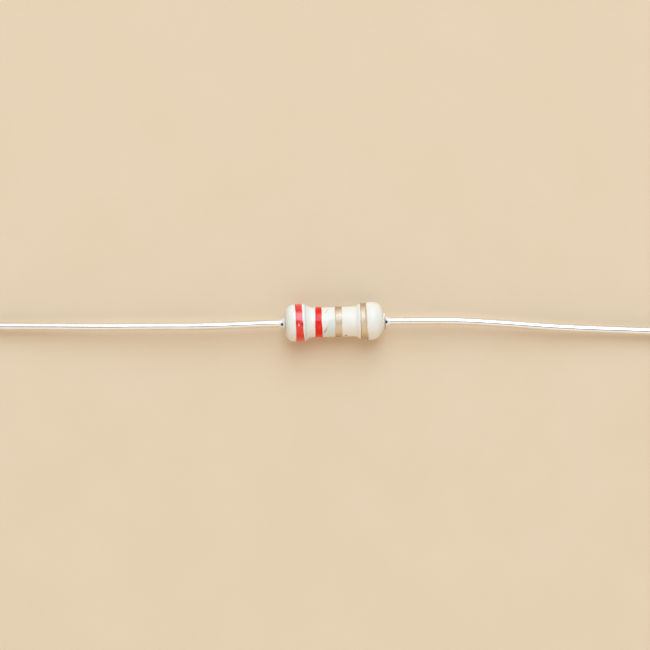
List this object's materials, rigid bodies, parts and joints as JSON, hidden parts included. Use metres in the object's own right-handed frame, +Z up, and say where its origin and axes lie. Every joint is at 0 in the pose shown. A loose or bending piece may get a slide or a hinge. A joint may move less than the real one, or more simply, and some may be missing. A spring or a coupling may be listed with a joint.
{
  "type": "axial resistor",
  "caption": "Quarter-watt axial film resistor with a dog-bone lacquered body, red, red, gold and gold colour bands, and two long tinned wire leads.",
  "frame": {"origin": "on the surface that the part rests on, straight below the middle of the body's axis; the right lead's bend puts the middle of the part's box about 0.4 mm from it towards -Y", "axes": "+X along the body's axis towards the tolerance band, +Y across the body to the left of +X, +Z up from the surface"},
  "size_m": [0.0623, 0.0032, 0.0025],
  "materials": {
    "ivory_lacquer": "gloss",
    "red_paint": "gloss",
    "gold_paint": "satin",
    "tinned_wire": "polished",
    "cap_steel": "satin",
    "resistive_film": "satin",
    "alumina": "matte"
  },
  "bodies": {
    "root": {"coating": "ivory_lacquer", "band_1_red": "red_paint", "band_2_red": "red_paint", "band_3_gold": "gold_paint", "band_4_gold": "gold_paint", "lead_left": "tinned_wire", "lead_right": "tinned_wire", "end_cap_left": "cap_steel", "end_cap_right": "cap_steel", "resistive_film": "resistive_film", "ceramic_core": "alumina"}
  },
  "joints": []
}
